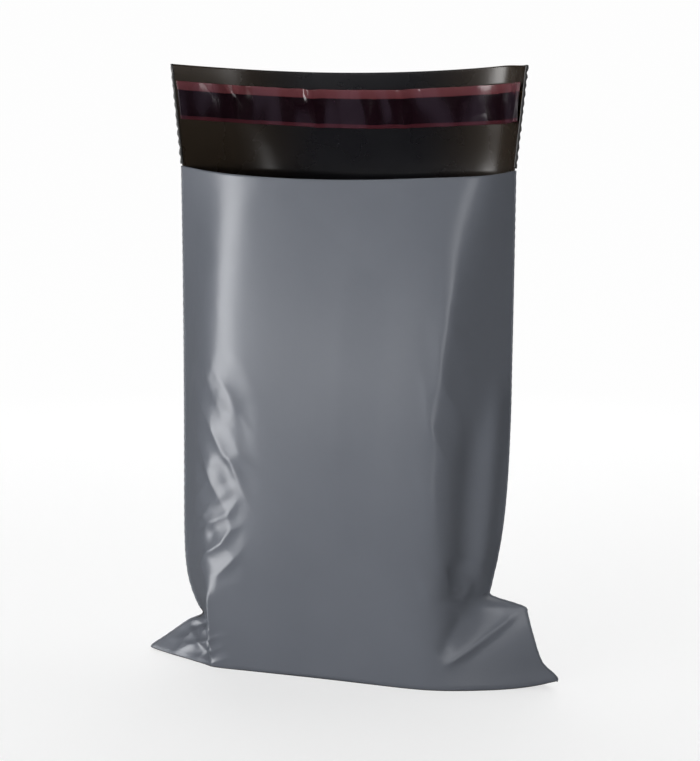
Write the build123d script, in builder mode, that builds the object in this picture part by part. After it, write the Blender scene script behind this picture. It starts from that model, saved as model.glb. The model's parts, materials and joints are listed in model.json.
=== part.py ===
from build123d import *
import os
from math import atan2, exp, sin, tan

# A polythene mailing sack, filled out and standing on its squared base with the closing lip up.
# Frame: millimetres, +Z up, the front panel faces -Y, X runs from weld to weld.
# The origin is the middle of the base, on the ground.
# The sack is one film folded at the bottom and welded up both sides. The film is two bonded
# layers, grey outside and black inside. The back wall runs on past the mouth as the lip, which
# carries a band of glue under a red peel-off liner.

# Driving dimensions
FLAT_WIDTH = 165.0  # weld to weld, empty and pressed flat
FLAT_LENGTH = 230.0  # bottom fold to mouth, pressed flat
LIP_LENGTH = 40.0  # closing lip above the mouth
FILLED_DEPTH = 62.0  # front to back at the base, when filled
BULGE_LOSS = 4.0  # height the film gives up to the bulge of the walls
MOUTH_DEPTH = 42.0  # front to back at the mouth, when filled
MOUTH_FRONT = -22.0  # Y of the mouth's front edge, when filled
BELLY_SWELL = 4.0  # how far the walls bulge beyond the base, each side
BELLY_HEIGHT = 74.0  # where they bulge most
NECK_SHARE = 0.39  # half width where the sack draws in above its ears, as a share of its flat width
NECK_DRAW = 5.2  # how much wider each side is again at the mouth
FILL_HEIGHT = 65.0  # height by which the sides have mostly filled out again
WELD_FOOT_Y = -13.0  # the welds lie forward of the middle, more so at the foot than at the mouth
WELD_MOUTH_Y = -8.0
FOOT_RADIUS = 8.0  # upright corners, at the base and at the mouth
MOUTH_RADIUS = 32.0
FRONT_NARROWING = 6.0  # the flat front narrows steadily by this much at each end
MOUTH_NARROWING = 5.0  # and by this much more close to the mouth

LAYER = 0.3  # modelled thickness of each film layer
GLUE_THICKNESS = 0.3
LINER_THICKNESS = 0.3
LINER_GAP = 0.15  # clearance that lets the liner part from the glue
BEAD_RADIUS = 0.6  # melted bead along each welded edge

GLUE_HEIGHT = 10.0  # band of hot-melt glue
LINER_HEIGHT = 15.0  # peel-off liner, wider than the glue so that it can be lifted
LINER_DROP = 6.5  # lip's free edge down to the liner
DRY_EDGE = 3.2  # glue-free strip along the liner's upper edge, for the fingers
FOLD_GAP = 0.5  # slit between back wall and lip, which are one film on the real sack

# Worked out from the driving dimensions
FILM = 2 * LAYER
GLUE_INSET = FILM + GLUE_THICKNESS
LINER_INSET = GLUE_INSET + LINER_GAP
MOUTH_HEIGHT = FLAT_LENGTH - FILLED_DEPTH / 2 - BULGE_LOSS
LIP_BOTTOM = MOUTH_HEIGHT + FOLD_GAP
LIP_TOP = MOUTH_HEIGHT + LIP_LENGTH
LINER_BOTTOM = LIP_TOP - LINER_DROP - LINER_HEIGHT
GLUE_BOTTOM = LIP_TOP - LINER_DROP - DRY_EDGE - GLUE_HEIGHT
BASE_FRONT = FLAT_WIDTH / 2 - FILLED_DEPTH * 0.575  # half length of the base's straight edge
NECK = FLAT_WIDTH * NECK_SHARE
MOUTH_HALF = NECK + NECK_DRAW  # half width at the mouth
BASE_DEPTH = FILLED_DEPTH / 2
MOUTH_BACK = MOUTH_FRONT + MOUTH_DEPTH
STEPS = 9  # even steps between the plan outlines from base to mouth
FRONT, BACK = -1, 1  # which way a wall stands from the welds, in Y


def wall_depth(height, mouth_depth):
    """How far a wall stands from the middle: out from the base to the belly, then in to the mouth."""
    belly = BASE_DEPTH + BELLY_SWELL
    if height < BELLY_HEIGHT:
        return belly - BELLY_SWELL * (1 - height / BELLY_HEIGHT) ** 2
    above = (height - BELLY_HEIGHT) / (MOUTH_HEIGHT - BELLY_HEIGHT)
    return belly - (belly - mouth_depth) * above**2.2


def plan(step):
    """One six-sided plan outline, with two points on the welds: height, half width at the welds, Y of
    the welds, of the front and of the back, half length of the flat front, corner radius."""
    rise = step / STEPS
    height = FILM + rise * (MOUTH_HEIGHT - FILM)
    half_width = MOUTH_HALF - NECK_DRAW * exp(-((height / FILL_HEIGHT) ** 2.5))
    if step == 0:
        half_width = FLAT_WIDTH / 2
    return (
        height,
        half_width,
        WELD_MOUTH_Y + (WELD_FOOT_Y - WELD_MOUTH_Y) * (1 - rise) ** 2,
        -wall_depth(height, -MOUTH_FRONT),
        wall_depth(height, MOUTH_BACK),
        BASE_FRONT - FRONT_NARROWING * rise - MOUTH_NARROWING * rise**5,
        FOOT_RADIUS + (MOUTH_RADIUS - FOOT_RADIUS) * rise,
    )


OUTLINES = [plan(step) for step in range(STEPS + 1)]
BASE_OUTLINE = OUTLINES[0]
MOUTH_OUTLINE = OUTLINES[-1]


def half_points(outline, inset, side):
    """Corners of half a plan outline from weld to weld, drawn in by inset."""
    _, half_width, weld_y, front_y, back_y, half_front, _ = outline
    reach = abs((back_y if side == BACK else front_y) - weld_y)
    side_angle = atan2(reach, half_width - half_front)
    point = half_width - inset / sin(side_angle)
    front = half_front - inset * tan(side_angle / 2)
    depth = weld_y + side * (reach - inset)
    return [(point, weld_y), (front, depth), (-front, depth), (-point, weld_y)]


def wall_section(outline, outer_inset, inner_inset, side):
    """Plan section through one wall, between two insets from its outline."""
    height, corner_radius = outline[0], outline[-1]
    with BuildSketch(Plane.XY.offset(height)) as section:
        for inset, mode in ((outer_inset, Mode.ADD), (inner_inset, Mode.SUBTRACT)):
            with BuildSketch(mode=mode) as half:
                with BuildLine():
                    Polyline(*half_points(outline, inset, side), close=True)
                make_face()
                corners = half.vertices().sort_by(Axis.Y, reverse=side == BACK)[0:2]
                fillet(corners, radius=corner_radius - inset)
    return section.sketch


def lip_section(outer_inset, inner_inset, height):
    """The same for what stands on the mouth's back edge, which keeps the mouth's outline."""
    return wall_section((height,) + MOUTH_OUTLINE[1:], outer_inset, inner_inset, BACK)


def save(piece, name):
    """Labels one finished piece and writes it as its own file."""
    piece.part.label = name
    export_step(piece.part, f"parts/{name}.step")


os.makedirs("parts", exist_ok=True)

# Front and back walls, from the base up to the mouth, as two bonded layers each
for panel, side in (("front", FRONT), ("back", BACK)):
    for layer, outer_inset in (("grey", 0.0), ("black", LAYER)):
        with BuildPart() as wall:
            loft(
                sections=[
                    wall_section(outline, outer_inset, outer_inset + LAYER, side)
                    for outline in OUTLINES
                ]
            )
        save(wall, f"{panel}_panel_{layer}_layer")

# Base: the bottom of the film, spread flat by the contents, with a pointed ear at each end
base_front_points = half_points(BASE_OUTLINE, 0.0, FRONT)
base_back_points = half_points(BASE_OUTLINE, 0.0, BACK)
for layer, bottom in (("grey", 0.0), ("black", LAYER)):
    with BuildPart() as base:
        with BuildSketch(Plane.XY.offset(bottom)) as footprint:
            with BuildLine():
                Polyline(*base_front_points, *base_back_points[2:0:-1], close=True)
            make_face()
            rows = footprint.vertices().group_by(Axis.Y)
            fillet(rows[0] + rows[-1], radius=BASE_OUTLINE[-1])
        extrude(amount=LAYER)
    save(base, f"base_panel_{layer}_layer")

# Closing lip: the back wall's film, carried on above the mouth
for layer, outer_inset in (("grey", 0.0), ("black", LAYER)):
    with BuildPart() as lip:
        add(lip_section(outer_inset, outer_inset + LAYER, LIP_BOTTOM))
        extrude(amount=LIP_TOP - LIP_BOTTOM)
    save(lip, f"lip_{layer}_layer")

# Hot-melt glue on the lip's inner face
with BuildPart() as glue_band:
    add(lip_section(FILM, GLUE_INSET, GLUE_BOTTOM))
    extrude(amount=GLUE_HEIGHT)
save(glue_band, "glue_band")

# Peel-off liner over the glue
with BuildPart() as peel_liner:
    add(lip_section(LINER_INSET, LINER_INSET + LINER_THICKNESS, LINER_BOTTOM))
    extrude(amount=LINER_HEIGHT)
save(peel_liner, "peel_liner")

# Melted bead up each side. It is fused into the walls up to the mouth, and above the mouth it
# is the trimmed edge of the lip.
for side, sign in (("left", -1), ("right", 1)):
    with BuildPart() as side_weld:
        with BuildLine() as seam:
            Spline([(sign * row[1], row[2], max(row[0], BEAD_RADIUS)) for row in OUTLINES])
        with BuildSketch(Plane(origin=seam.line @ 1, z_dir=seam.line % 1)):
            Circle(BEAD_RADIUS)
        sweep(path=seam.line)
    save(side_weld, f"{side}_side_weld")

    with BuildPart() as lip_edge_bead:
        with BuildSketch(Plane.XY.offset(LIP_BOTTOM)):
            with Locations((sign * MOUTH_OUTLINE[1], MOUTH_OUTLINE[2])):
                Circle(BEAD_RADIUS)
        extrude(amount=LIP_TOP - LIP_BOTTOM)
    save(lip_edge_bead, f"{side}_lip_edge_bead")
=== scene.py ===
import json
import math

import bmesh
import bpy
import numpy as np
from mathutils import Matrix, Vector


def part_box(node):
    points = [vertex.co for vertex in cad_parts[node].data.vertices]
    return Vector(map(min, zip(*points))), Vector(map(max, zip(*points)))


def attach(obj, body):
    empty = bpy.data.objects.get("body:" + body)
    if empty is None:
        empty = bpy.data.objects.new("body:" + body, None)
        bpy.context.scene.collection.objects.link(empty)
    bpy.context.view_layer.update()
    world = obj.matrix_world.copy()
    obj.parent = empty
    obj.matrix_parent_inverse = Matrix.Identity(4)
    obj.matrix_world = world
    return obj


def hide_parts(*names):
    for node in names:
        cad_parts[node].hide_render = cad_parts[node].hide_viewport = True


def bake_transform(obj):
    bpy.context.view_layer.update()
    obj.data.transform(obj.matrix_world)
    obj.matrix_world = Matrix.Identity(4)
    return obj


# A grey polythene mail sack, filled out and standing open on its squared base.
# Everything is built in millimetres and turned into metres when a mesh is made.

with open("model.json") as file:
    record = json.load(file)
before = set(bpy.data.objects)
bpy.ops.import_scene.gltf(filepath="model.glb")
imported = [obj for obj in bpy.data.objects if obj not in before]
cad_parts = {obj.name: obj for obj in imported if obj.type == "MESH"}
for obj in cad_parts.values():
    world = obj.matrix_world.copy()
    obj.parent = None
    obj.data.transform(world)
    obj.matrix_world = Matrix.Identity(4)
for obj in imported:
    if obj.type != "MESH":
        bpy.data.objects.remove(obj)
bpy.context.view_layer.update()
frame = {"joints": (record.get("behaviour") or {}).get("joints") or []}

MM = 0.001
HAIR = 1e-9  # keeps a division or a sign from meeting zero


def node_box(name):
    """Lowest and highest corners of a CAD node, in millimetres."""
    low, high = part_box(name)
    return np.array(low) / MM, np.array(high) / MM


# ---------------------------------------------------------------- sizes from the frame
base_high = node_box("base_panel_grey_layer")[1]
wall_low, wall_high = node_box("front_panel_grey_layer")
lip_high = node_box("lip_grey_layer")[1]
liner_low, liner_high = node_box("peel_liner")
glue_low, glue_high = node_box("glue_band")

weld_low = node_box("left_side_weld")[0]
lip_edge_low, lip_edge_high = node_box("left_lip_edge_bead")

BEAD_RADIUS = (lip_edge_high[0] - lip_edge_low[0]) / 2
EAR_TIP = base_high[0]  # half width of the base, to the tips of the ears
BASE_DEPTH = base_high[1]  # half depth of the base
MOUTH_Z = wall_high[2]
LIP_TOP = lip_high[2]
MOUTH_HALF = lip_high[0]  # half width at the mouth
MOUTH_BACK = lip_high[1]  # the mouth's back edge
MOUTH_DEPTH = 42.0
MOUTH_FRONT = MOUTH_BACK - MOUTH_DEPTH  # the mouth's front edge
BELLY = -wall_low[1]  # half depth where the walls bulge most
BELLY_Z = 74.0  # and the height of that place
EAR_REACH = 35.65  # from the end of the base's straight front edge out to the ear's tip
BASE_FRONT = EAR_TIP - EAR_REACH  # half length of that edge
WELD_FOOT_Y = weld_low[1] + BEAD_RADIUS  # the welds lean forward, more so at the foot
WELD_MOUTH_Y = (lip_edge_low[1] + lip_edge_high[1]) / 2

FILM = 0.16  # visible thickness of the film
BASE_FILM = 0.12  # and of the film under the contents
GLUE_FILM = 0.12
LINER_FILM = 0.08
FLOOR_GAP = 0.25  # the walls' lowest row stands this far above the floor
LOWEST = 0.15  # and crumpled film never comes closer to it than this
COLUMNS = 127  # across one wall, weld to weld, before refining
ROWS = 137  # from base to mouth, before refining
LIP_FLARE = 4.2  # how much wider the lip's free edge stands than the mouth, each side
LIP_BOW = 0.62  # the free edge bows back by this share of the mouth's bow
LIP_RISE = 0.3  # how far the ends of the free edge stand above the plain lip
LIP_SAG = 3.7  # how far the free edge dips in the middle
SAG = 3.8  # how far the mouth dips in the middle
RIDGE_SHARPNESS = 24.0  # how crisp the ridges between buckled facets are
CORNER_BLEND = 2.5  # first rounding of the upright corners
SOFTENING = 190  # rounds of smoothing that soften them above the foot
LIP_DROOP = 1.2  # how far the lip's right-hand corner droops
LOOSE_END = 1.7  # how far the liner stands off the glue near its right end
LOOSE_FROM = (0.5, 4.5)  # it leaves the glue over these distances from the hinge
LOOSE_TO = (17, 29)  # and meets it again over these
LEAN = 0.8  # how much wider each side is at the mouth than just above the neck
EDGE_LEAN = 1.5  # how much a wall's flat part would narrow from base to mouth
TUCK = 1.3  # how far the walls' lowest edge is tucked in under the sack
TUCK_HEIGHT = 2.2
SWEEP_HEIGHT = 24  # an ear is swept forward below this height
FLARE_HEIGHT = 6.5  # and flares out near the floor, fading over about this height
HOLD = 0.02  # how firmly the contents hold the film in place at each step
LET_GO = 0.019  # how much of that hold is lost where the film is slackest
FULL_SLACK = 0.03  # share of spare length that counts as slackest
SINK = 2.6  # the furthest that crumpled film moves in from the filled shape
SWELL = 1.6  # and the furthest that it moves out
WELD_WIDTH = 1.1
WELD_THICKNESS = 0.34
WELD_STEP = 0.4  # spacing of the points along a weld
WELD_LOWEST = 0.6  # height of a weld's centre line at the foot
RIPPLE_LENGTH = 3.4  # usual length of one ripple along a weld


# ---------------------------------------------------------------- small maths helpers
def smooth_step(x, low, high):
    t = np.clip((x - low) / (high - low), 0, 1)
    return t * t * (3 - 2 * t)


def smooth_min(a, b, radius):
    """The smaller of a and b, rounded over about that radius where they cross."""
    h = np.clip(0.5 + 0.5 * (b - a) / radius, 0, 1)
    return b + (a - b) * h - radius * h * (1 - h)


def smooth_max(a, b, radius):
    return -smooth_min(-a, -b, radius)


def plane_reach(points, dx, dy, z):
    """How far a ray (dx, dy) from the sack's axis goes at height z before it meets a plane."""
    a, b, c = (np.array(p, float) for p in points)
    normal = np.cross(b - a, c - a)
    return (normal @ a - normal[2] * z) / (normal[0] * dx + normal[1] * dy)


# ---------------------------------------------------------------- the sack's own shape
# Each side of the sack. The neck is where it draws in above its ear (half width, height), and it fills
# out to its full half width over the fill height. Then the ear's tip, its apex (half width, height),
# the height where its crease starts at the front corner, where the upright corner ends at the mouth,
# how soft that corner is at the foot and above, how far the tip is swept forward and how steeply that
# grows, and how far the tip flares out along the ground and lifts off it.
SIDES = {
    1: {  # right: a tall ear with a shelf above it
        "neck": (60.8, 34.0),
        "full": MOUTH_HALF - 1.9,
        "fill": 24.0,
        "tip": EAR_TIP + 1.6,
        "apex": (75.5, 31.0),
        "crease_low": 8.0,
        "mouth_corner": BASE_FRONT + 12.5,
        "softness": (0.46, 0.42),
        "sweep": (4.0, 5.0),
        "flare": 4.3,
        "lift": 2.4,
    },
    -1: {  # left: a low, flattened ear
        "neck": (58.6, 16.0),
        "full": MOUTH_HALF - 2.6,
        "fill": 11.0,
        "tip": EAR_TIP - 1.4,
        "apex": (66.0, 12.0),
        "crease_low": 3.0,
        "mouth_corner": BASE_FRONT - 5.0,
        "softness": (0.0, 1.0),
        "sweep": (-3.5, 1.4),
        "flare": 0.5,
        "lift": 0.9,
    },
}


def weld_y(z):
    """Y of the welds at height z."""
    return WELD_MOUTH_Y + (WELD_FOOT_Y - WELD_MOUTH_Y) * np.clip(1 - z / MOUTH_Z, 0, 1) ** 2


def wall_y(z, side):
    """Y of a wall: out from the base to the belly, then in to the mouth."""
    mouth = -MOUTH_FRONT if side < 0 else MOUTH_BACK
    below = BELLY - (BELLY - BASE_DEPTH) * (1 - z / BELLY_Z) ** 2
    above = BELLY - (BELLY - mouth) * (np.maximum(z - BELLY_Z, 0) / (MOUTH_Z - BELLY_Z)) ** 2.2
    return side * np.where(z < BELLY_Z, below, above)


def front_half(z, sx):
    """How far the flat part of a wall reaches towards side sx."""
    rise = z / MOUTH_Z
    return BASE_FRONT - EDGE_LEAN * rise + (SIDES[sx]["mouth_corner"] - BASE_FRONT + EDGE_LEAN) * rise**4


def side_half(z, sx):
    """Half width of the sack at the weld on side sx."""
    neck, neck_z = SIDES[sx]["neck"]
    above = np.maximum(z - neck_z, 0) / SIDES[sx]["fill"]
    full = SIDES[sx]["full"]
    return full - (full - neck) * np.exp(-(above**1.25)) + LEAN * (z / MOUTH_Z) ** 2


def wall_reach(dx, dy, z, sx, side):
    """Distance from the weld's line to a wall, for rays into the quarter on side sx."""
    ear = SIDES[sx]
    depth = np.abs(wall_y(z, side) - weld_y(z))
    front = front_half(z, sx)
    weld = side_half(z, sx)
    to_front = depth / dy
    # side line from the front corner to the weld
    to_side = depth * weld / (depth * dx + (weld - front) * dy)
    body = smooth_min(to_front, to_side, CORNER_BLEND)
    base_depth = abs(side * BASE_DEPTH - WELD_FOOT_Y)
    corner = (BASE_FRONT, base_depth)
    apex = (ear["apex"][0], 0, ear["apex"][1])
    neck = (ear["neck"][0], 0, ear["neck"][1])
    face = plane_reach(((*corner, 0), (ear["tip"], 0, 0), apex), dx, dy, z)
    shelf = plane_reach(((*corner, ear["crease_low"]), apex, neck), dx, dy, z)
    pyramid = smooth_min(smooth_min(face, shelf, 1.4), to_front, 3.0)
    # only rays that leave near the corner, or beyond it, can meet the ear
    near_ear = smooth_step(base_depth * dx / dy, BASE_FRONT - 14, BASE_FRONT - 4)
    tuck = TUCK * np.clip(1 - z / TUCK_HEIGHT, 0, 1) ** 2
    return body + near_ear * (smooth_max(body, pyramid, 2.4) - body) - tuck


def wall_grid(side):
    """Points of the front (-1) or back (1) wall: rows from base to mouth, columns left to right."""
    # Rays are spread evenly along the base's outline, so that the ears get their share.
    base_depth = abs(side * BASE_DEPTH - WELD_FOOT_Y)
    leg = math.hypot(EAR_TIP - BASE_FRONT, base_depth)
    along = np.linspace(-1, 1, COLUMNS) * (BASE_FRONT + leg)
    over = np.clip((np.abs(along) - BASE_FRONT) / leg, 0, 1)
    outer_x = np.sign(along) * (BASE_FRONT + over * (EAR_TIP - BASE_FRONT))
    ref_x = np.where(np.abs(along) < BASE_FRONT, along, outer_x)
    ref_y = base_depth * (1 - over)
    length = np.hypot(ref_x, ref_y)
    dx, dy = np.abs(ref_x) / length, np.maximum(ref_y / length, 1e-5)
    rows = np.linspace(0, 1, ROWS)[:, None] ** 1.15
    top = MOUTH_Z + 0.4 - SAG * (1 - (ref_x / EAR_TIP) ** 2)
    z = FLOOR_GAP + rows * (top - FLOOR_GAP)[None, :]
    grid = np.zeros((ROWS, COLUMNS, 3))
    grid[..., 2] = z
    for sx in (-1, 1):
        half = (along < 0) if sx < 0 else (along >= 0)
        x_way, y_way, height = dx[None, half], dy[None, half], z[:, half]
        reach = wall_reach(x_way, y_way, height, sx, side)
        outer = np.clip((reach * x_way - BASE_FRONT) / (EAR_TIP - BASE_FRONT), 0, 1)
        low = np.clip(1 - height / SWEEP_HEIGHT, 0, 1)
        foot = np.exp(-((height / FLARE_HEIGHT) ** 2))
        flare = SIDES[sx]["flare"] * outer**3 * foot
        grid[:, half, 2] += SIDES[sx]["lift"] * outer**5 * foot
        grid[:, half, 0] = sx * (reach * x_way + flare)
        amount, power = SIDES[sx]["sweep"]
        grid[:, half, 1] = weld_y(height) + side * reach * y_way + amount * outer**power * low
    return soften(grid)


def soften(grid):
    """Rounds the upright corners by smoothing each row, more on one side than on the other."""
    across = np.clip(0.5 + grid[..., 0] / (2 * BASE_FRONT), 0, 1)
    left, right = SIDES[-1]["softness"], SIDES[1]["softness"]
    foot, above = (left[k] * (1 - across) + right[k] * across for k in (0, 1))
    amount = (foot + (above - foot) * smooth_step(grid[..., 2], 28, 64))[:, 1:-1, None]
    for _ in range(SOFTENING):
        middle = (grid[:, :-2] + grid[:, 2:]) / 2
        grid[:, 1:-1, :2] += 0.5 * amount * (middle - grid[:, 1:-1])[..., :2]
    return grid


def on_wall(sx, share, z, side=-1):
    """A place on a wall at height z: share 0 at its upright corner, 1 at the weld, and below 0 on the
    flat front, at that many panel widths from the corner."""
    corner = np.array((sx * float(front_half(z, sx)), float(wall_y(z, side)), z))
    weld = np.array((sx * float(side_half(z, sx)), float(weld_y(z)), z))
    if share >= 0:
        return corner + share * (weld - corner)
    return corner + np.array((sx * share * np.linalg.norm(weld - corner), 0, 0))


def grid_normals(grid, side):
    """Unit normals that point out of the sack."""
    du = np.gradient(grid, axis=1)
    dv = np.gradient(grid, axis=0)
    n = np.cross(du, dv) * -side
    return n / np.maximum(np.linalg.norm(n, axis=2, keepdims=True), HAIR)


# ---------------------------------------------------------------- crumpling the film
def blobs(grid, spots):
    """Sum of soft round weights. Each spot is a centre, a radius along each axis and a weight."""
    total = np.zeros(grid.shape[:2])
    for centre, radii, weight in spots:
        away = (grid - np.array(centre, float)) / np.array(radii, float)
        total += weight * np.exp(-np.sum(away**2, axis=2))
    return total


def soft_noise(shape, cells, seed):
    """Smooth random values about 0, with bumps about so many grid cells high and wide."""
    rng = np.random.default_rng(seed)
    rows, columns = (int(math.ceil(n / cell)) + 3 for n, cell in zip(shape, cells))
    knots = rng.normal(size=(rows, columns))
    y = np.linspace(1, rows - 2.001, shape[0])
    x = np.linspace(1, columns - 2.001, shape[1])
    return bicubic(knots[..., None], y, x)[..., 0]


def cubic_weights(t):
    """Catmull-Rom weights for the four knots around a place t of the way between the middle two."""
    return np.stack([
        -0.5 * t + t**2 - 0.5 * t**3,
        1 - 2.5 * t**2 + 1.5 * t**3,
        0.5 * t + 2 * t**2 - 1.5 * t**3,
        -0.5 * t**2 + 0.5 * t**3,
    ])


def bicubic(grid, y, x):
    """Values of a grid at fractional rows y and columns x."""
    for axis, places in ((0, y), (1, x)):
        last = grid.shape[axis] - 1
        base = np.clip(np.floor(places).astype(int), 0, last - 1)
        weights = cubic_weights(places - base)
        parts = []
        for k in range(4):
            i = base + k - 1
            inside = np.take(grid, np.clip(i, 0, last), axis=axis)
            shape = [1] * grid.ndim
            shape[axis] = len(places)
            parts.append(inside * weights[k].reshape(shape))
        grid = sum(parts)
    return grid


def refine(grid, factor=2):
    rows, columns = grid.shape[:2]
    y = np.linspace(0, rows - 1, (rows - 1) * factor + 1)
    x = np.linspace(0, columns - 1, (columns - 1) * factor + 1)
    return bicubic(grid, y, x)


# Links between the film's points: rows up, columns across, stiffness. The long ones resist bending.
LINKS = ((1, 0, 1.0), (0, 1, 1.0), (1, 1, 0.6), (1, -1, 0.6), (2, 0, 0.22), (0, 2, 0.22))


def link_slices(dr, dc):
    rows_a = slice(0, -dr or None)
    rows_b = slice(dr, None)
    if dc >= 0:
        return (rows_a, slice(0, -dc or None)), (rows_b, slice(dc, None))
    return (rows_a, slice(-dc, None)), (rows_b, slice(0, dc))


def crumple(start, shape, normals, slack, hold, steps):
    """Film relaxation. The film keeps its lengths, plus the slack it has upwards, while contents and
    air hold it near its shape, and so the slack buckles. All arrays are rows by columns."""
    x = start.copy()
    links = []
    for dr, dc, stiffness in LINKS:
        a, b = link_slices(dr, dc)
        edge = shape[b] - shape[a]
        own = np.linalg.norm(edge, axis=2)
        spare = 0.5 * (slack[a] + slack[b])
        up = np.abs(edge[..., 2]) / np.maximum(own, HAIR)
        links.append((a, b, own * (1 + spare * up**2), stiffness))
    for _ in range(steps):
        move = np.zeros_like(x)
        share = np.zeros(x.shape[:2])
        for a, b, length, stiffness in links:
            edge = x[b] - x[a]
            now = np.linalg.norm(edge, axis=2)
            pull = (0.5 * stiffness * (now - length) / np.maximum(now, HAIR))[..., None] * edge
            move[a] += pull
            move[b] -= pull
            share[a] += stiffness
            share[b] += stiffness
        x += 1.5 * move / share[..., None]
        x += hold[..., None] * (shape - x)
        out = np.sum((x - shape) * normals, axis=2)
        x += (np.clip(out, -SINK, SWELL) - out)[..., None] * normals
        x[..., 2] = np.maximum(x[..., 2], LOWEST)
    return x


def path_distance(grid, path):
    """Distance from each point to a polyline, and how far along it (0 to 1) the nearest place is."""
    path = np.array(path, float)
    lengths = np.linalg.norm(np.diff(path, axis=0), axis=1)
    starts = np.concatenate([[0], np.cumsum(lengths)[:-1]])
    best = np.full(grid.shape[:2], 1e9)
    place = np.zeros(grid.shape[:2])
    for a, b, length, begun in zip(path[:-1], path[1:], lengths, starts):
        t = np.clip(((grid - a) @ (b - a)) / length**2, 0, 1)
        away = np.linalg.norm(grid - (a + t[..., None] * (b - a)), axis=2)
        nearer = away < best
        best = np.where(nearer, away, best)
        place = np.where(nearer, (begun + t * length) / lengths.sum(), place)
    return best, place


def folds(grid, normals, lines):
    """Raises ridges (height above 0) and presses valleys (below 0) along lines, fading out at both ends.
    Each line is its points, width, height and sharpness (1 a knife edge, 2 a soft roll)."""
    total = np.zeros(grid.shape[:2])
    for path, width, height, sharpness in lines:
        away, place = path_distance(grid, path)
        ends = smooth_step(place, 0, 0.25) * smooth_step(1 - place, 0, 0.25)
        total += height * ends * np.exp(-((away / width) ** sharpness))
    return grid + total[..., None] * normals


def facets(grid, normals, zones, side):
    """Buckles the film into shallow dents with straight ridges between them. Each zone is a side, a
    share and height for its middle, its half width and half height, the slant of its dents in degrees,
    their length, width and depth, and a seed."""
    total = np.zeros(grid.shape[:2])
    for sx, share, z, half_across, half_up, slant, long, wide, depth, seed in zones:
        rng = np.random.default_rng(seed)
        middle = on_wall(sx, share, z, side)
        across = (grid[..., 0] - middle[0]) * sx * -1
        up = grid[..., 2] - z
        turn = math.radians(slant)
        a = (across * math.cos(turn) + up * math.sin(turn)) / long
        b = (-across * math.sin(turn) + up * math.cos(turn)) / wide
        reach = math.hypot(half_across, half_up)
        counts = (int(reach / long) + 2, int(reach / wide) + 2)
        nearest = np.zeros(grid.shape[:2])
        for i in range(-counts[0], counts[0] + 1):
            for j in range(-counts[1], counts[1] + 1):
                shift_a, shift_b = rng.uniform(-0.32, 0.32, 2)
                away = (a - i - 0.5 * (j % 2) - shift_a) ** 2 + (b - j - shift_b) ** 2
                nearest += np.exp(-RIDGE_SHARPNESS * away)
        dents = -np.log(nearest + 1e-30) / RIDGE_SHARPNESS
        zone = np.exp(-((across / half_across) ** 4) - (up / half_up) ** 4)
        total += depth * zone * (np.clip(dents, 0, 0.6) / 0.35 - 0.5)
    return grid + total[..., None] * normals


# ---------------------------------------------------------------- mesh making
def sheet(name, grid, side, thickness, materials, normals=None):
    """A closed thin sheet from a grid of points on its outer face. The inner face gets the second
    material, where there are two."""
    rows, columns = grid.shape[:2]
    if normals is None:
        normals = grid_normals(grid, side)
    outer = grid.reshape(-1, 3)
    inner = (grid - normals * thickness).reshape(-1, 3)
    index = np.arange(rows * columns).reshape(rows, columns)
    a, b, c, d = index[:-1, :-1], index[:-1, 1:], index[1:, 1:], index[1:, :-1]
    quads = np.stack([a, b, c, d], -1).reshape(-1, 4)
    if side > 0:
        quads = quads[:, ::-1]
    count = rows * columns
    faces = [quads, quads[:, ::-1] + count]
    ring = np.concatenate([index[0, :-1], index[:-1, -1], index[-1, :0:-1], index[:0:-1, 0]])
    nxt = np.roll(ring, -1)
    rim = np.stack([nxt, ring, ring + count, nxt + count], -1)
    if side > 0:
        rim = rim[:, ::-1]
    faces.append(rim)
    all_faces = np.concatenate(faces)
    mesh = bpy.data.meshes.new(name)
    mesh.from_pydata((np.concatenate([outer, inner]) * MM).tolist(), [], all_faces.tolist())
    for material in materials:
        mesh.materials.append(material)
    slots = np.zeros(len(all_faces), np.int32)
    slots[len(quads):] = min(1, len(materials) - 1)
    mesh.polygons.foreach_set("material_index", slots)
    mesh.polygons.foreach_set("use_smooth", np.ones(len(all_faces), bool))
    mesh.update()
    obj = bpy.data.objects.new(name, mesh)
    bpy.context.scene.collection.objects.link(obj)
    return obj


# ---------------------------------------------------------------- materials
def new_material(name):
    material = bpy.data.materials.new(name)
    material.use_nodes = True
    nodes = material.node_tree.nodes
    return material, nodes, material.node_tree.links, nodes["Principled BSDF"]


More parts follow.
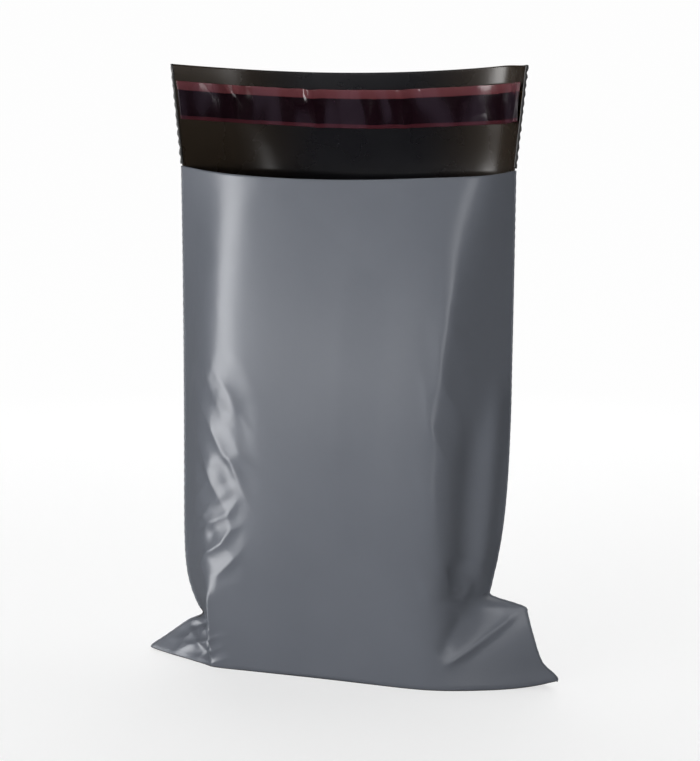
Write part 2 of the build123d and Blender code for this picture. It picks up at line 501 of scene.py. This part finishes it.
def film_material(name, dark, light, rough, bump, ends=None):
    """Polythene film: faint blotches of colour and gloss, extrusion lines and soft fine creases. With a
    colour for its ends, its base colour shifts to that colour towards the welds, a painted reflection."""
    material, nodes, links, shader = new_material(name)
    where = nodes.new("ShaderNodeTexCoord")
    blotch = nodes.new("ShaderNodeTexNoise")
    blotch.inputs["Scale"].default_value = 28.0
    blotch.inputs["Detail"].default_value = 5.0
    links.new(where.outputs["Object"], blotch.inputs["Vector"])
    ramp = nodes.new("ShaderNodeMix")
    ramp.data_type = "RGBA"
    ramp.inputs["A"].default_value = (*dark, 1)
    ramp.inputs["B"].default_value = (*light, 1)
    links.new(blotch.outputs["Fac"], ramp.inputs["Factor"])
    colour = ramp.outputs["Result"]
    # Painted reflection: towards the welds the base colour turns to the brownish ends colour, standing in
    # for the surroundings reflected in the film there.
    if ends:
        split = nodes.new("ShaderNodeSeparateXYZ")
        links.new(where.outputs["Object"], split.inputs["Vector"])
        away = nodes.new("ShaderNodeMath")
        away.operation = "ABSOLUTE"
        links.new(split.outputs["X"], away.inputs[0])
        reach = nodes.new("ShaderNodeMapRange")
        reach.interpolation_type = "SMOOTHSTEP"
        reach.inputs["From Min"].default_value = 0.018
        reach.inputs["From Max"].default_value = 0.062
        links.new(away.outputs["Value"], reach.inputs["Value"])
        painted_end_reflection = nodes.new("ShaderNodeMix")
        painted_end_reflection.data_type = "RGBA"
        painted_end_reflection.inputs["B"].default_value = (*ends, 1)
        links.new(colour, painted_end_reflection.inputs["A"])
        links.new(reach.outputs["Result"], painted_end_reflection.inputs["Factor"])
        colour = painted_end_reflection.outputs["Result"]
    links.new(colour, shader.inputs["Base Color"])
    gloss = nodes.new("ShaderNodeTexNoise")
    gloss.inputs["Scale"].default_value = 60.0
    gloss.inputs["Detail"].default_value = 6.0
    links.new(where.outputs["Object"], gloss.inputs["Vector"])
    spread = nodes.new("ShaderNodeMapRange")
    spread.inputs["To Min"].default_value = rough[0]
    spread.inputs["To Max"].default_value = rough[1]
    links.new(gloss.outputs["Fac"], spread.inputs["Value"])
    links.new(spread.outputs["Result"], shader.inputs["Roughness"])
    lines = nodes.new("ShaderNodeMapping")
    lines.inputs["Scale"].default_value = (1.0, 1.0, 0.08)
    links.new(where.outputs["Object"], lines.inputs["Vector"])
    streaks = nodes.new("ShaderNodeTexNoise")
    streaks.inputs["Scale"].default_value = 260.0
    streaks.inputs["Detail"].default_value = 3.0
    links.new(lines.outputs["Vector"], streaks.inputs["Vector"])
    soft = nodes.new("ShaderNodeTexNoise")
    soft.inputs["Scale"].default_value = 45.0
    soft.inputs["Detail"].default_value = 4.0
    soft.inputs["Distortion"].default_value = 0.6
    links.new(where.outputs["Object"], soft.inputs["Vector"])
    total = nodes.new("ShaderNodeMath")
    total.operation = "MULTIPLY_ADD"
    links.new(streaks.outputs["Fac"], total.inputs[0])
    total.inputs[1].default_value = 0.12
    links.new(soft.outputs["Fac"], total.inputs[2])
    relief = nodes.new("ShaderNodeBump")
    relief.inputs["Strength"].default_value = bump
    relief.inputs["Distance"].default_value = 0.0006
    links.new(total.outputs["Value"], relief.inputs["Height"])
    links.new(relief.outputs["Normal"], shader.inputs["Normal"])
    shader.inputs["Specular IOR Level"].default_value = 0.5
    shader.inputs["IOR"].default_value = 1.5
    return material


GREY = film_material("grey_film", (0.118, 0.128, 0.150), (0.140, 0.151, 0.175), (0.26, 0.36), 0.35)
# The black film's brownish ends colour is a painted reflection.
BLACK = film_material("black_film", (0.0062, 0.0060, 0.0078), (0.0095, 0.0092, 0.0115), (0.22, 0.34), 0.05,
                      ends=(0.026, 0.0185, 0.0120))

# ---------------------------------------------------------------- walls
# Where the film has slack to crumple: side, share across the side panel, height, radius across,
# radius up, share of spare length.
FRONT_SLACK = (
    (-1, -0.05, 92, 10, 24, 0.020),
    (-1, 0.05, 54, 10, 20, 0.025),
    (-1, 0.60, 14, 14, 9, 0.050),
    (1, 0.10, 100, 8, 50, 0.012),
    (1, 0.60, 37, 10, 10, 0.030),
)
BACK_SLACK = (
    (-1, 0.00, 60, 10, 34, 0.045),
    (1, 0.00, 75, 10, 30, 0.045),
    (-1, 0.70, 18, 14, 12, 0.060),
    (1, 0.50, 36, 14, 12, 0.060),
)
# Creases and rolls: side, then places as share and height, width, height (below 0 a valley), sharpness.
FRONT_FOLDS = (
    (1, ((0.32, 32), (0.34, 52)), 5.0, -0.9, 2.0),  # dimple in the shelf above the ear
    (1, ((0.50, 30), (0.46, 62), (0.52, 110)), 5.5, -1.4, 2.0),  # long valley up from the ear
    (1, ((0.78, 34), (0.84, 124)), 4.4, 1.3, 2.0),  # ridge between that valley and the weld
    (1, ((0.05, 12), (0.55, 31)), 3.0, -0.6, 1.8),  # valley under the shelf
    (1, ((0.02, 40), (-0.04, 100), (0.02, 176)), 4.0, 0.9, 1.6),  # the upright corner itself
    (-1, ((0.00, 1), (0.02, 34)), 1.4, 0.8, 1.2),  # sharp lower left corner
    (-1, ((0.25, 2), (0.50, 15)), 2.4, -1.3, 1.5),  # flattened folds of the left ear
    (-1, ((0.50, 2), (0.80, 14)), 2.2, 1.0, 1.4),
    (-1, ((0.62, 12), (0.98, 20)), 2.6, -1.8, 1.4),  # tuck between the left ear and the body
)
# Zones where the film has buckled into facets: side, share and height of the middle, half width, half
# height, slant of the dents, their length, width and depth, seed.
FRONT_FACETS = (
    (-1, -0.16, 92, 13, 24, -56, 26, 9.5, 0.75, 41),
    (-1, -0.06, 53, 12, 17, 40, 17, 7.5, 0.80, 42),
    (-1, 0.75, 9, 14, 8, 24, 16, 4.5, 0.80, 43),
    (1, 0.45, 42, 12, 11, 66, 22, 8.0, 0.42, 44),
    (1, 0.00, 105, 7, 34, 74, 30, 9.0, 0.40, 45),
)
BACK_FACETS = (
    (-1, -0.05, 70, 12, 34, -50, 20, 8.0, 0.80, 51),
    (1, -0.05, 84, 12, 34, 48, 20, 8.0, 0.80, 52),
    (-1, 0.75, 12, 14, 10, 26, 16, 5.0, 0.60, 53),
    (1, 0.45, 38, 12, 10, 60, 16, 6.0, 0.60, 54),
)


def corner_creases(sx, low, high, seed):
    """Slanting creases that cross over one another up a soft upright corner, where the film has buckled."""
    rng = np.random.default_rng(seed)
    lines = []
    z = low
    while z < high:
        rise = rng.uniform(13, 22)
        across = rng.uniform(0.20, 0.42)
        slant = 1 if len(lines) % 3 else -1
        ends = ((-slant * across - 0.10, z), (0.0, z + 0.55 * rise), (slant * across, z + rise))
        height = rng.uniform(0.5, 0.9) * (1 if len(lines) % 2 else -1)
        lines.append((sx, ends, rng.uniform(2.4, 3.6), height, 1.25))
        z += rise * rng.uniform(0.35, 0.6)
    return tuple(lines)


def ear_crease(sx, drop, width, height):
    """The crease from the front corner out to the ear's apex, bowed down by the drop in its middle."""
    half, apex_z = SIDES[sx]["apex"]
    start = np.array((sx * BASE_FRONT, -BASE_DEPTH, SIDES[sx]["crease_low"]))
    end = np.array((sx * half, float(weld_y(apex_z)), apex_z))
    places = [start + t * (end - start) - (0, 0, drop * 4 * t * (1 - t)) for t in (0.0, 0.35, 0.7, 1.0)]
    return places, width, height, 1.1


def slack_blobs(spots, side):
    """The same slack as centres and radii in millimetres."""
    return [
        (on_wall(sx, share, z, side), (across, across, up), spare)
        for sx, share, z, across, up, spare in spots
    ]


def fold_paths(lines, side):
    """The same folds as paths in millimetres."""
    return [
        ([on_wall(sx, share, z, side) for share, z in places], *profile)
        for sx, places, *profile in lines
    ]


def film_wall(side, slack_spots, zones, lines, creases, seed):
    """One wall of the sack, crumpled, on a fine grid."""
    shape = wall_grid(side)
    normals = grid_normals(shape, side)
    hold = np.full(shape.shape[:2], HOLD)
    slack = blobs(shape, slack_blobs(slack_spots, side))
    hold -= LET_GO * np.clip(slack / FULL_SLACK, 0, 1)
    hold[:2] = 1
    hold[-1:] = 1
    hold[:, 0] = 1
    hold[:, -1] = 1
    seeds = soft_noise(slack.shape, (5, 5), seed) * 0.5 * np.clip(slack / FULL_SLACK, 0, 1)
    start = shape + seeds[..., None] * normals
    steps = 260
    film = crumple(start, shape, normals, slack, hold, steps)
    fine_shape, fine = refine(shape), refine(film)
    fine_normals = grid_normals(fine_shape, side)
    fine_slack = refine(slack[..., None])[..., 0]
    fine_hold = np.clip(refine(hold[..., None])[..., 0], 0, 1)
    film = crumple(fine, fine_shape, fine_normals, fine_slack, fine_hold, steps // 4)
    film = facets(film, fine_normals, zones, side)
    film = folds(film, fine_normals, fold_paths(lines, side) + creases)
    film[..., 2] = np.maximum(film[..., 2], LOWEST)
    return film


def lip_grid(top_row):
    """Points of the lip's outer face, from the mouth's back edge up to the free edge."""
    rise = np.linspace(0, 1, 50)[1:, None]
    flare = 1 + LIP_FLARE / MOUTH_HALF * rise
    flatten = 1 - (1 - LIP_BOW) * smooth_step(rise, 0, 1.2)
    grid = np.zeros((len(rise), len(top_row), 3))
    grid[..., 0] = top_row[None, :, 0] * flare
    grid[..., 1] = WELD_MOUTH_Y + (top_row[None, :, 1] - WELD_MOUTH_Y) * flatten
    dip = LIP_SAG * (1 - (top_row[:, 0] / MOUTH_HALF) ** 2)
    dip += LIP_DROOP * smooth_step(top_row[:, 0], MOUTH_HALF - 14, MOUTH_HALF)
    grid[..., 2] = top_row[None, :, 2] + rise * (LIP_TOP + LIP_RISE - dip - top_row[:, 2])[None, :]
    return grid


EAR_CREASES = [ear_crease(1, 1.0, 1.5, 1.3), ear_crease(1, 5.0, 2.8, -0.4), ear_crease(-1, 0.5, 1.6, 0.9)]
front_lines = FRONT_FOLDS + corner_creases(-1, 60, 112, 7)
front_grid = film_wall(-1, FRONT_SLACK, FRONT_FACETS, front_lines, EAR_CREASES, 3)
back_wall = film_wall(1, BACK_SLACK, BACK_FACETS, corner_creases(1, 45, 105, 17), [], 5)
back_grid = np.concatenate([back_wall, lip_grid(back_wall[-1])])
back_normals = grid_normals(back_grid, 1)

front = sheet("front_film", front_grid, -1, FILM, (GREY, BLACK))
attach(front, "sack")
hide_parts("front_panel_grey_layer", "front_panel_black_layer")

back = sheet("back_film_and_lip", back_grid, 1, FILM, (GREY, BLACK), back_normals)
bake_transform(back)
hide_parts("back_panel_grey_layer", "back_panel_black_layer", "lip_grey_layer", "lip_black_layer")


# ---------------------------------------------------------------- base
def base_film():
    t = np.linspace(0, 1, 40)[:, None, None]
    grid = front_grid[0][None] * (1 - t) + back_wall[0][None] * t
    grid[..., 2] = np.maximum(grid[..., 2] - 0.2, 0.05)
    down = np.broadcast_to((0.0, 0.0, -1.0), grid.shape)
    obj = sheet("base_film", grid, 1, BASE_FILM, (GREY, BLACK), down)
    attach(obj, "sack")
    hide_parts("base_panel_grey_layer", "base_panel_black_layer")


base_film()


# ---------------------------------------------------------------- welds
def bead(name, path, outward, width, thickness, material):
    """A flattened, uneven bead of melted film along a path. Its width varies along it."""
    corners = 10
    along = np.gradient(path, axis=0)
    along /= np.linalg.norm(along, axis=1, keepdims=True)
    across = np.cross(along, outward)
    angles = np.linspace(0, 2 * math.pi, corners, endpoint=False)
    rings = (path[:, None] + np.cos(angles)[None, :, None] * (0.5 * width)[:, None, None] * outward[:, None]
             + np.sin(angles)[None, :, None] * 0.5 * thickness * across[:, None])
    count = len(path)
    index = np.arange(count * corners).reshape(count, corners)
    nxt = np.roll(index, -1, axis=1)
    faces = np.stack([index[:-1], nxt[:-1], nxt[1:], index[1:]], -1).reshape(-1, 4).tolist()
    faces += [index[0][::-1].tolist(), index[-1].tolist()]
    mesh = bpy.data.meshes.new(name)
    mesh.from_pydata((rings.reshape(-1, 3) * MM).tolist(), [], faces)
    mesh.materials.append(material)
    mesh.polygons.foreach_set("use_smooth", np.ones(len(faces), bool))
    mesh.update()
    bm = bmesh.new()
    bm.from_mesh(mesh)
    bmesh.ops.recalc_face_normals(bm, faces=bm.faces)
    bm.to_mesh(mesh)
    bm.free()
    obj = bpy.data.objects.new(name, mesh)
    bpy.context.scene.collection.objects.link(obj)
    return obj


def resample(points, step):
    """The same line with points evenly spaced."""
    gone = np.concatenate([[0], np.cumsum(np.linalg.norm(np.diff(points, axis=0), axis=1))])
    places = np.linspace(0, gone[-1], int(gone[-1] / step))
    return np.stack([np.interp(places, gone, points[:, k]) for k in range(3)], 1), places


def side_weld(name, edge, sx, body, node, wave, seed, material):
    """Melted edge along one side of the sack or of its lip, with the ripples the hot cutter leaves."""
    path, places = resample(edge, WELD_STEP)
    rng = np.random.default_rng(seed)
    direction = np.gradient(path, axis=0)
    direction /= np.linalg.norm(direction, axis=1, keepdims=True)
    outward = np.stack([direction[:, 2], np.zeros(len(path)), -direction[:, 0]], 1) * sx
    outward *= np.sign(outward[:, :1] * sx + HAIR)
    outward /= np.linalg.norm(outward, axis=1, keepdims=True)
    phase = np.cumsum(rng.uniform(0.5, 1.5, len(path))) * WELD_STEP * 2 * math.pi / RIPPLE_LENGTH
    size = 0.6 + 0.4 * np.interp(places, np.linspace(0, places[-1], 12), rng.uniform(-1, 1, 12))
    ripple = wave * size * np.sin(phase)
    path = path + outward * (0.5 * ripple)[:, None]
    path[:, 1] += 0.35 * wave * np.cos(phase * 0.5)
    width = WELD_WIDTH + ripple
    path[:, 2] = np.maximum(path[:, 2], WELD_LOWEST)
    obj = bead(name, path, outward, width, WELD_THICKNESS, material)
    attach(obj, body)
    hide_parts(node)


WELD = film_material("weld", (0.075, 0.082, 0.096), (0.11, 0.12, 0.14), (0.35, 0.5), 0.5)
LIP_EDGE = film_material("lip_edge", (0.010, 0.0095, 0.0095), (0.022, 0.021, 0.021), (0.3, 0.45), 0.5)
for side_name, sx, column in (("left", -1, 0), ("right", 1, -1)):
    seam = front_grid[:, column]
    side_weld(f"{side_name}_weld", seam, sx, "sack", f"{side_name}_side_weld", 0.06, 11 + sx, WELD)
    cut = back_grid[len(back_wall):, column]
    side_weld(f"{side_name}_lip_edge", cut, sx, "lip", f"{side_name}_lip_edge_bead", 0.28, 21 + sx, LIP_EDGE)


# ---------------------------------------------------------------- glue and liner
def on_lip(low, high, rows, gap, inset):
    """Points on the lip's inner face, a gap in front of it, between two heights above the mouth's sag."""
    lip = back_grid[len(back_wall) - 1:]
    lip_normals = back_normals[len(back_wall) - 1:]
    heights = (np.linspace(low, high, rows) - MOUTH_Z) / (LIP_TOP - MOUTH_Z) * (len(lip) - 1)
    ends = inset / (2 * MOUTH_HALF) * (lip.shape[1] - 1)
    columns = np.linspace(ends, lip.shape[1] - 1 - ends, 300)
    grid = bicubic(lip, heights, columns)
    normals = bicubic(lip_normals, heights, columns)
    normals /= np.linalg.norm(normals, axis=2, keepdims=True)
    return grid - (FILM + gap) * normals, normals


def glue():
    grid, normals = on_lip(glue_low[2], glue_high[2], 24, 0.02, 3.0)
    obj = sheet("glue_strip", grid, 1, GLUE_FILM, (GLUE,), normals)
    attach(obj, "lip")
    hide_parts("glue_band")


# Where the liner's slack stands off the glue in an upright blister, or is pressed on (a height below
# 0): place along the lip, width and height.
BLISTERS = ((-57, 4, 0.5), (-47, 3.5, 0.4), (-20, 2.2, 0.5), (-13, 3, -0.4), (17, 2.0, 0.6), (22, 1.5, -0.5))


def liner():
    grid, normals = on_lip(liner_low[2], liner_high[2], 44, 0.32, 1.0)
    rows, columns = grid.shape[:2]
    ripples = np.clip(soft_noise((rows, columns), (26, 7), 31), -1.5, 1.5)
    relief = 0.26 * ripples * soft_noise((rows, columns), (60, 34), 33)
    x = grid[rows // 2, :, 0]
    for centre, width, height in BLISTERS:
        relief = relief + height * np.exp(-((x - centre) / width) ** 2)[None, :]
    relief = np.clip(relief, -0.1, 1.0)
    # loose at its right end, by the hinge, so that it clears the weld with both joints at their limits
    hinge = np.array(frame["joints"][1]["pos_m"]) / MM
    away = np.linalg.norm(grid[..., :2] - hinge[:2], axis=2)
    relief += LOOSE_END * smooth_step(away, *LOOSE_FROM) * (1 - smooth_step(away, *LOOSE_TO))
    grid = grid - relief[..., None] * normals
    obj = sheet("peel_off_liner", grid, 1, LINER_FILM, (LINER,), normals)
    band = np.tile(np.linspace(0, 1, rows)[:, None], (1, columns)).reshape(-1)
    attribute = obj.data.attributes.new("band", "FLOAT", "POINT")
    attribute.data.foreach_set("value", np.concatenate([band, band]).astype(np.float32))
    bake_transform(obj)
    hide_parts("peel_liner")


def liner_material():
    """Clear red release film: deep where the glue wets it, paler along its dry edges, with a painted
    reflection of faint bluish upright patches.
    """
    material, nodes, links, shader = new_material("red_liner")
    band = nodes.new("ShaderNodeAttribute")
    band.attribute_name = "band"
    where = nodes.new("ShaderNodeTexCoord")
    wander = nodes.new("ShaderNodeTexNoise")
    wander.inputs["Scale"].default_value = 90.0
    links.new(where.outputs["Object"], wander.inputs["Vector"])
    shift = nodes.new("ShaderNodeMath")
    shift.operation = "MULTIPLY_ADD"
    links.new(wander.outputs["Fac"], shift.inputs[0])
    shift.inputs[1].default_value = 0.03
    links.new(band.outputs["Fac"], shift.inputs[2])
    ramp = nodes.new("ShaderNodeValToRGB")
    links.new(shift.outputs["Value"], ramp.inputs["Fac"])
    stops = ((0.0, (0.060, 0.014, 0.019)), (0.105, (0.052, 0.012, 0.017)), (0.125, (0.0092, 0.0034, 0.0056)),
             (0.775, (0.0080, 0.0028, 0.0048)), (0.80, (0.105, 0.029, 0.034)), (1.0, (0.120, 0.036, 0.041)))
    elements = ramp.color_ramp.elements
    while len(elements) < len(stops):
        elements.new(0.5)
    for element, (place, colour) in zip(elements, stops):
        element.position = place
        element.color = (*colour, 1)
    # Painted reflection: the noise below places faint bluish upright patches. They are added to the base
    # colour as soft oval reflections in the wetted film.
    upright = nodes.new("ShaderNodeMapping")
    upright.inputs["Scale"].default_value = (1.0, 1.0, 0.22)
    links.new(where.outputs["Object"], upright.inputs["Vector"])
    air = nodes.new("ShaderNodeTexNoise")
    air.inputs["Scale"].default_value = 75.0
    air.inputs["Detail"].default_value = 1.0
    links.new(upright.outputs["Vector"], air.inputs["Vector"])
    painted_reflection_mask = nodes.new("ShaderNodeMapRange")
    painted_reflection_mask.interpolation_type = "SMOOTHSTEP"
    painted_reflection_mask.inputs["From Min"].default_value = 0.50
    painted_reflection_mask.inputs["From Max"].default_value = 0.62
    painted_reflection_mask.inputs["To Max"].default_value = 1.0
    links.new(air.outputs["Fac"], painted_reflection_mask.inputs["Value"])
    painted_reflection_veil = nodes.new("ShaderNodeMix")
    painted_reflection_veil.data_type = "RGBA"
    painted_reflection_veil.blend_type = "ADD"
    painted_reflection_veil.inputs["B"].default_value = (0.013, 0.011, 0.0155, 1)
    links.new(painted_reflection_mask.outputs["Result"], painted_reflection_veil.inputs["Factor"])
    links.new(ramp.outputs["Color"], painted_reflection_veil.inputs["A"])
    links.new(painted_reflection_veil.outputs["Result"], shader.inputs["Base Color"])
    shader.inputs["Roughness"].default_value = 0.16
    shader.inputs["Specular IOR Level"].default_value = 0.42
    squeeze = nodes.new("ShaderNodeMapping")
    squeeze.inputs["Scale"].default_value = (1.0, 1.0, 0.35)
    links.new(where.outputs["Object"], squeeze.inputs["Vector"])
    wrinkle = nodes.new("ShaderNodeTexNoise")
    wrinkle.inputs["Scale"].default_value = 170.0
    wrinkle.inputs["Detail"].default_value = 4.0
    wrinkle.inputs["Distortion"].default_value = 1.2
    links.new(squeeze.outputs["Vector"], wrinkle.inputs["Vector"])
    relief = nodes.new("ShaderNodeBump")
    relief.inputs["Strength"].default_value = 0.22
    relief.inputs["Distance"].default_value = 0.0006
    links.new(wrinkle.outputs["Fac"], relief.inputs["Height"])
    links.new(relief.outputs["Normal"], shader.inputs["Normal"])
    return material


LINER = liner_material()
GLUE = film_material("glue", (0.10, 0.055, 0.018), (0.16, 0.09, 0.03), (0.08, 0.16), 0.6)
glue()
liner()


# ---------------------------------------------------------------- studio
def area_light(name, place, aim, size, power):
    light = bpy.data.lights.new(name, "AREA")
    light.shape = "RECTANGLE"
    light.size, light.size_y = size
    light.energy = power
    obj = bpy.data.objects.new(name, light)
    obj.location = place
    obj.rotation_euler = (Vector(aim) - Vector(place)).to_track_quat("-Z", "Y").to_euler()
    bpy.context.scene.collection.objects.link(obj)
    return obj


def stage_material():
    """Pale floor. It looks evenly pale to the camera, but throws little light back on the film."""
    material, nodes, links, shader = new_material("pale_floor")
    shader.inputs["Roughness"].default_value = 0.9
    shader.inputs["Specular IOR Level"].default_value = 0.1
    shader.inputs["Emission Color"].default_value = (1, 1, 1, 1)
    path = nodes.new("ShaderNodeLightPath")
    where = nodes.new("ShaderNodeTexCoord")
    away = nodes.new("ShaderNodeVectorMath")
    away.operation = "LENGTH"
    links.new(where.outputs["Object"], away.inputs[0])
    # shadows show near the sack, and the tone evens out further away
    for target, unseen, near, far in (
        ("Base Color", 0.72, 0.30, 0.0),
        ("Emission Strength", 0.0, 0.68, 0.985),
    ):
        seen = nodes.new("ShaderNodeMapRange")
        seen.interpolation_type = "SMOOTHSTEP"
        seen.inputs["From Min"].default_value = 0.22
        seen.inputs["From Max"].default_value = 0.75
        seen.inputs["To Min"].default_value = near
        seen.inputs["To Max"].default_value = far
        links.new(away.outputs["Value"], seen.inputs["Value"])
        choice = nodes.new("ShaderNodeMapRange")
        choice.inputs["To Min"].default_value = unseen
        links.new(seen.outputs["Result"], choice.inputs["To Max"])
        links.new(path.outputs["Is Camera Ray"], choice.inputs["Value"])
        links.new(choice.outputs["Result"], shader.inputs[target])
    return material


def dish():
    """A round floor that curves up into a wall all round, so that it is pale from every side."""
    flat, bend, top, corners = 2.2, 0.8, 4.0, 96
    turns = np.linspace(0.1, math.pi / 2, 16)
    profile = [(flat, 0.0)]
    profile += [(flat + bend * math.sin(a), bend * (1 - math.cos(a))) for a in turns]
    profile += [(flat + bend, top)]
    around = [2 * math.pi * k / corners for k in range(corners)]
    bm = bmesh.new()
    centre = bm.verts.new((0, 0, 0))
    rings = [[bm.verts.new((r * math.cos(a), r * math.sin(a), z)) for a in around] for r, z in profile]
    for k in range(corners):
        after = (k + 1) % corners
        bm.faces.new((centre, rings[0][k], rings[0][after]))
        for low, high in zip(rings[:-1], rings[1:]):
            bm.faces.new((low[k], high[k], high[after], low[after])).smooth = True
    mesh = bpy.data.meshes.new("floor")
    bm.to_mesh(mesh)
    bm.free()
    mesh.materials.append(stage_material())
    floor = bpy.data.objects.new("floor", mesh)
    bpy.context.scene.collection.objects.link(floor)
    floor.visible_glossy = False  # a pale floor in the film would wash out its darker edges


def surroundings():
    """Grey surroundings for the film to reflect, lighter on the left and below. The floor hides them
    from the camera."""
    world = bpy.data.worlds.new("studio")
    bpy.context.scene.world = world
    world.use_nodes = True
    nodes, links = world.node_tree.nodes, world.node_tree.links
    where = nodes.new("ShaderNodeTexCoord")
    split_xyz = nodes.new("ShaderNodeSeparateXYZ")
    links.new(where.outputs["Generated"], split_xyz.inputs["Vector"])
    side = nodes.new("ShaderNodeMapRange")
    side.inputs["From Min"].default_value = -0.9
    side.inputs["From Max"].default_value = 0.7
    side.inputs["To Min"].default_value = 0.80
    side.inputs["To Max"].default_value = 0.05
    links.new(split_xyz.outputs["X"], side.inputs["Value"])
    below = nodes.new("ShaderNodeMapRange")
    below.inputs["From Min"].default_value = -0.45
    below.inputs["From Max"].default_value = 0.45
    below.inputs["To Min"].default_value = 1.8
    below.inputs["To Max"].default_value = 0.35
    links.new(split_xyz.outputs["Z"], below.inputs["Value"])
    strength = nodes.new("ShaderNodeMath")
    strength.operation = "MULTIPLY"
    links.new(side.outputs["Result"], strength.inputs[0])
    links.new(below.outputs["Result"], strength.inputs[1])
    links.new(strength.outputs["Value"], nodes["Background"].inputs["Strength"])


def lights():
    area_light("top_softbox", (-0.35, -0.55, 1.5), (0, 0, 0.1), (1.4, 1.4), 3.6)
    area_light("floor_fill", (0.0, 0.9, 1.6), (0, 0.5, 0.0), (2.5, 1.2), 18)
    # soft light that isn't seen as a highlight
    for name, place, size, power in (
        ("front_key", (-0.50, -1.60, 0.17), (1.3, 0.30), 20.5),  # wholly above the floor
        ("back_fill", (-0.6, 1.5, 0.7), (1.3, 1.1), 16),
    ):
        area_light(name, place, (0, 0, 0.10), size, power).visible_glossy = False
    # lights that are only seen as highlights: an upright strip for each front corner and a low window
    for name, place, size, power in (
        ("left_strip", (-0.66, -0.50, 0.17), (0.34, 0.80), 7.6),
        ("right_strip", (0.42, -0.86, 0.30), (0.16, 0.70), 1.5),
        ("front_window", (-0.45, -1.15, 0.10), (0.45, 0.35), 0.25),
    ):
        area_light(name, place, (0, 0, 0.12), size, power).visible_diffuse = False


def camera():
    azimuth = math.radians(21)
    pitch = math.radians(8.2)
    distance = 0.7835
    target = Vector((0, 0, 0.1123))
    level = math.cos(pitch)
    away = Vector((math.sin(azimuth) * level, -math.cos(azimuth) * level, math.sin(pitch)))
    data = bpy.data.cameras.new("camera")
    data.sensor_fit = "VERTICAL"
    data.sensor_height = 36
    data.lens = 94.61  # millimetres, as is the sensor's height
    obj = bpy.data.objects.new("camera", data)
    obj.location = target + distance * away
    obj.rotation_euler = (-away).to_track_quat("-Z", "Y").to_euler()
    bpy.context.scene.collection.objects.link(obj)
    bpy.context.scene.camera = obj


dish()
surroundings()
lights()
bpy.context.scene.view_settings.view_transform = "Standard"
camera()
